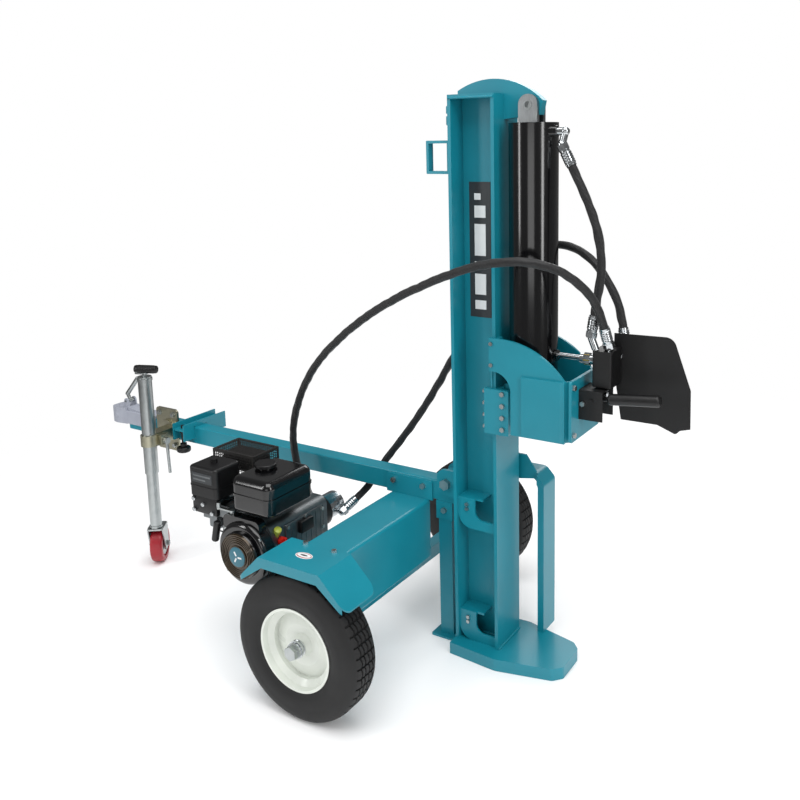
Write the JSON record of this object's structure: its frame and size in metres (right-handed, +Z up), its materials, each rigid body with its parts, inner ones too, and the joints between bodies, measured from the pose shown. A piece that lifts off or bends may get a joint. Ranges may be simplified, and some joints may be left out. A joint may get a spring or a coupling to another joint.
{
  "type": "log splitter",
  "caption": "Towable hydraulic log splitter with a tilting I-beam mast, ram wedge, stripper cage, foot plate, engine and pump, oil tank axle, road wheels and jockey wheel.",
  "frame": {"origin": "middle of the foot plate's underside, on the ground, below the beam's front face", "axes": "+X towards the working side away from the tongue, -Y towards the engine side, +Z up"},
  "size_m": [2.242, 1.057, 1.681],
  "materials": {
    "teal_paint": "gloss",
    "black_paint": "semi gloss",
    "cream_paint": "satin",
    "zinc": "satin",
    "yellow_zinc": "satin",
    "bare_steel": "machined",
    "chromed_rod": "mirror",
    "cast_alloy": "sand cast",
    "tyre": "matt",
    "red_plastic": "satin",
    "black_plastic": "matt",
    "hose": "woven sleeve"
  },
  "bodies": {
    "mast": {"beam": "teal_paint", "foot_plate": "teal_paint", "fence": "teal_paint", "lift_handle": "teal_paint", "side_brackets": "teal_paint", "stripper_cage": "teal_paint", "stripper_front": "teal_paint", "mast_bolts": "zinc", "cylinder_barrel": "black_paint", "cylinder_head": "bare_steel", "cylinder_gland": "bare_steel", "clevis_pin": "zinc", "valve_body": "black_paint", "mast_fittings": "yellow_zinc", "lever_bracket": "black_paint", "guard_plate": "black_paint", "hose_cylinder": "hose"},
    "ram": {"piston_rod": "chromed_rod", "wedge": "teal_paint", "wedge_carriage": "teal_paint", "carriage_bolts": "zinc"},
    "lever": {"valve_lever": "black_plastic"},
    "frame": {"tongue": "teal_paint", "tongue_end": "teal_paint", "hydraulic_tank": "teal_paint", "tank_brackets": "teal_paint", "axle": "teal_paint", "fender": "teal_paint", "frame_bolts": "zinc", "cradle": "teal_paint", "coupler_body": "zinc", "jockey_bracket": "yellow_zinc", "jockey_tube": "zinc", "engine_block": "cast_alloy", "recoil_housing": "black_paint", "fuel_tank": "black_paint", "air_filter": "black_plastic", "carburettor": "cast_alloy", "muffler": "black_paint", "bell_housing": "black_paint", "pump": "cast_alloy", "hose_pressure": "hose", "hose_return": "hose"},
    "leg": {"support_leg": "teal_paint"},
    "latch_pin": {"cradle_pin": "black_plastic"},
    "tow_handle": {"coupler_handle": "zinc"},
    "jockey_slider": {"jockey_stem": "zinc"},
    "jockey_caster": {"jockey_fork": "zinc"},
    "jockey_roller": {"jockey_wheel": "red_plastic"},
    "jockey_winder": {"jockey_crank": "black_plastic"},
    "clamp_lever": {"jockey_clamp_lever": "zinc"},
    "pull_grip": {"recoil_grip": "black_plastic"},
    "filler_cap": {"fuel_cap": "black_plastic"},
    "crank": {"crankshaft": "bare_steel"},
    "stop_switch": {"engine_switch": "red_plastic"},
    "throttle": {"throttle_lever": "zinc"},
    "wheel_near": {"tyre_near": "tyre", "rim_near": "cream_paint"},
    "wheel_far": {"tyre_far": "tyre", "rim_far": "cream_paint"}
  },
  "joints": [
    {"name": "beam_tilt", "type": "hinge", "parent": "frame", "child": "mast", "pos_m": [-0.19, 0, 0.505], "axis": [0, -1, 0], "range_deg": [0, 90], "deforming": ["hose_pressure", "hose_return"]},
    {"name": "wedge_stroke", "type": "slide", "parent": "mast", "child": "ram", "axis": [0, 0, -1], "range_m": [0, 0.56]},
    {"name": "valve_lever_swing", "type": "hinge", "parent": "mast", "child": "lever", "pos_m": [0.276, -0.03, 0.832], "axis": [0, 1, 0], "range_deg": [-13, 13], "stiffness_Nm_per_rad": 8},
    {"name": "wheel_near_spin", "type": "hinge", "parent": "frame", "child": "wheel_near", "pos_m": [-0.336, -0.524, 0.205], "axis": [0, 1, 0], "continuous": true},
    {"name": "wheel_far_spin", "type": "hinge", "parent": "frame", "child": "wheel_far", "pos_m": [-0.336, 0.405, 0.205], "axis": [0, 1, 0], "continuous": true},
    {"name": "leg_slide", "type": "slide", "parent": "frame", "child": "leg", "axis": [0, 0, 1], "range_m": [0, 0.05]},
    {"name": "jockey_crank_turn", "type": "hinge", "parent": "frame", "child": "jockey_winder", "pos_m": [-1.38, -0.142, 0.74], "axis": [0, 0, 1], "range_deg": [0, 8640]},
    {"name": "jockey_raise", "type": "slide", "parent": "frame", "child": "jockey_slider", "axis": [0, 0, 1], "range_m": [0, 0.12]},
    {"name": "jockey_caster_swivel", "type": "hinge", "parent": "jockey_slider", "child": "jockey_caster", "pos_m": [-1.38, -0.142, 0.14], "axis": [0, 0, 1], "continuous": true},
    {"name": "jockey_wheel_spin", "type": "hinge", "parent": "jockey_caster", "child": "jockey_roller", "pos_m": [-1.39646, -0.11935, 0.065], "axis": [0.809, 0.5878, 0], "continuous": true},
    {"name": "jockey_clamp_turn", "type": "hinge", "parent": "frame", "child": "clamp_lever", "pos_m": [-1.326, -0.111, 0.473], "axis": [-1, 0, 0], "range_deg": [0, 90]},
    {"name": "coupler_handle_lift", "type": "hinge", "parent": "frame", "child": "tow_handle", "pos_m": [-1.652, 0, 0.548], "axis": [0, 1, 0], "range_deg": [0, 45]},
    {"name": "latch_pin_pull", "type": "slide", "parent": "frame", "child": "latch_pin", "axis": [0, 0, -1], "range_m": [0, 0.012], "stiffness_N_per_m": 1500},
    {"name": "recoil_pull", "type": "slide", "parent": "frame", "child": "pull_grip", "axis": [-1, 0, 0], "range_m": [0, 0.08], "stiffness_N_per_m": 60},
    {"name": "fuel_cap_turn", "type": "hinge", "parent": "frame", "child": "filler_cap", "pos_m": [-0.64, -0.318, 0.59], "axis": [0, 0, 1], "range_deg": [0, 90]},
    {"name": "crank_spin", "type": "hinge", "parent": "frame", "child": "crank", "pos_m": [-0.63, -0.16, 0.352], "axis": [0, 1, 0], "continuous": true},
    {"name": "stop_switch_turn", "type": "hinge", "parent": "frame", "child": "stop_switch", "pos_m": [-0.545, -0.372, 0.38], "axis": [1, 0, 0], "range_deg": [0, 40]},
    {"name": "throttle_swing", "type": "hinge", "parent": "frame", "child": "throttle", "pos_m": [-0.686, -0.424, 0.46], "axis": [0, 0, 1], "range_deg": [0, 40]}
  ],
  "couplings": [
    {"joint": "jockey_crank_turn", "follows": "jockey_raise", "rad_per_m": 1256.6}
  ]
}
